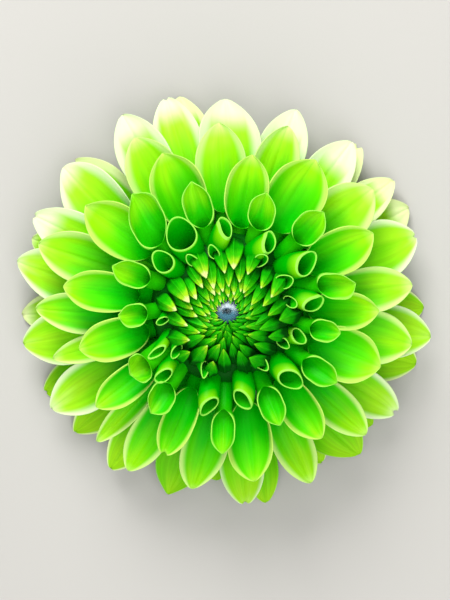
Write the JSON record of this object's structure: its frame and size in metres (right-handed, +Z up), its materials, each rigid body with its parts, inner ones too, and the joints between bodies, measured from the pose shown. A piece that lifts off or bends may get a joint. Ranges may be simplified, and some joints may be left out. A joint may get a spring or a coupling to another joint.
{
  "type": "dahlia flower",
  "caption": "Double dahlia bloom with rings of cupped green florets round a closed bud, on a short cut stem, lying face up.",
  "frame": {"origin": "on the surface the bloom lies on, below the middle of its bounding box", "axes": "+Z up along the bloom's axis, out of its face; +X to the right and +Y to the top of the picture"},
  "size_m": [0.121, 0.1228, 0.0437],
  "materials": {
    "floret": "satin",
    "young_floret": "satin",
    "eye": "matte",
    "bract": "satin",
    "stem": "matte"
  },
  "bodies": {
    "root": {"stem": "stem", "outer_bracts": "bract", "inner_bracts": "bract", "back_florets": "floret", "bud": "young_floret", "eye": "eye", "outer_floret_01": "floret", "outer_floret_02": "floret", "outer_floret_03": "floret", "outer_floret_04": "floret", "outer_floret_05": "floret", "outer_floret_06": "floret", "outer_floret_07": "floret", "outer_floret_08": "floret", "outer_floret_09": "floret", "outer_floret_10": "floret", "outer_floret_11": "floret", "outer_floret_12": "floret", "outer_floret_13": "floret", "outer_floret_14": "floret", "wide_floret_01": "floret", "wide_floret_02": "floret", "wide_floret_03": "floret", "wide_floret_04": "floret", "wide_floret_05": "floret", "wide_floret_06": "floret", "wide_floret_07": "floret", "wide_floret_08": "floret", "wide_floret_09": "floret", "wide_floret_10": "floret", "wide_floret_11": "floret", "wide_floret_12": "floret", "wide_floret_13": "floret", "wide_floret_14": "floret", "middle_floret_01": "floret", "middle_floret_02": "floret", "middle_floret_03": "floret", "middle_floret_04": "floret", "middle_floret_05": "floret", "middle_floret_06": "floret", "middle_floret_07": "floret", "middle_floret_08": "floret", "middle_floret_09": "floret", "middle_floret_10": "floret", "middle_floret_11": "floret", "middle_floret_12": "floret", "middle_floret_13": "floret", "inner_floret_01": "floret", "inner_floret_02": "floret", "inner_floret_03": "floret", "inner_floret_04": "floret", "inner_floret_05": "floret", "inner_floret_06": "floret", "inner_floret_07": "floret", "inner_floret_08": "floret", "inner_floret_09": "floret", "inner_floret_10": "floret", "inner_floret_11": "floret", "inner_floret_12": "floret", "inner_floret_13": "floret"}
  },
  "joints": []
}
